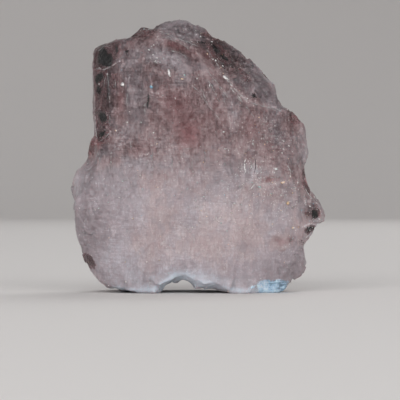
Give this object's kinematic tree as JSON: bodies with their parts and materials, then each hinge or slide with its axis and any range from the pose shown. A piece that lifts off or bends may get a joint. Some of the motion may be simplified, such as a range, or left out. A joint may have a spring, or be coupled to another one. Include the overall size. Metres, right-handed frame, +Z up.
{
  "type": "morganite stone",
  "caption": "Rough pink morganite crystal, a thick broken plate that stands on its lower edge, with a clear prism at one side and a cloudy base.",
  "frame": {"origin": "under the middle of the stone's box, on the surface that it stands on", "axes": "+Z up, along the way the crystal grew; +X to the right as seen from the front face; +Y from the front face to the back"},
  "size_m": [0.052, 0.026, 0.056],
  "materials": {
    "morganite": "satin"
  },
  "bodies": {
    "root": {"morganite_crystal": "morganite"}
  },
  "joints": []
}
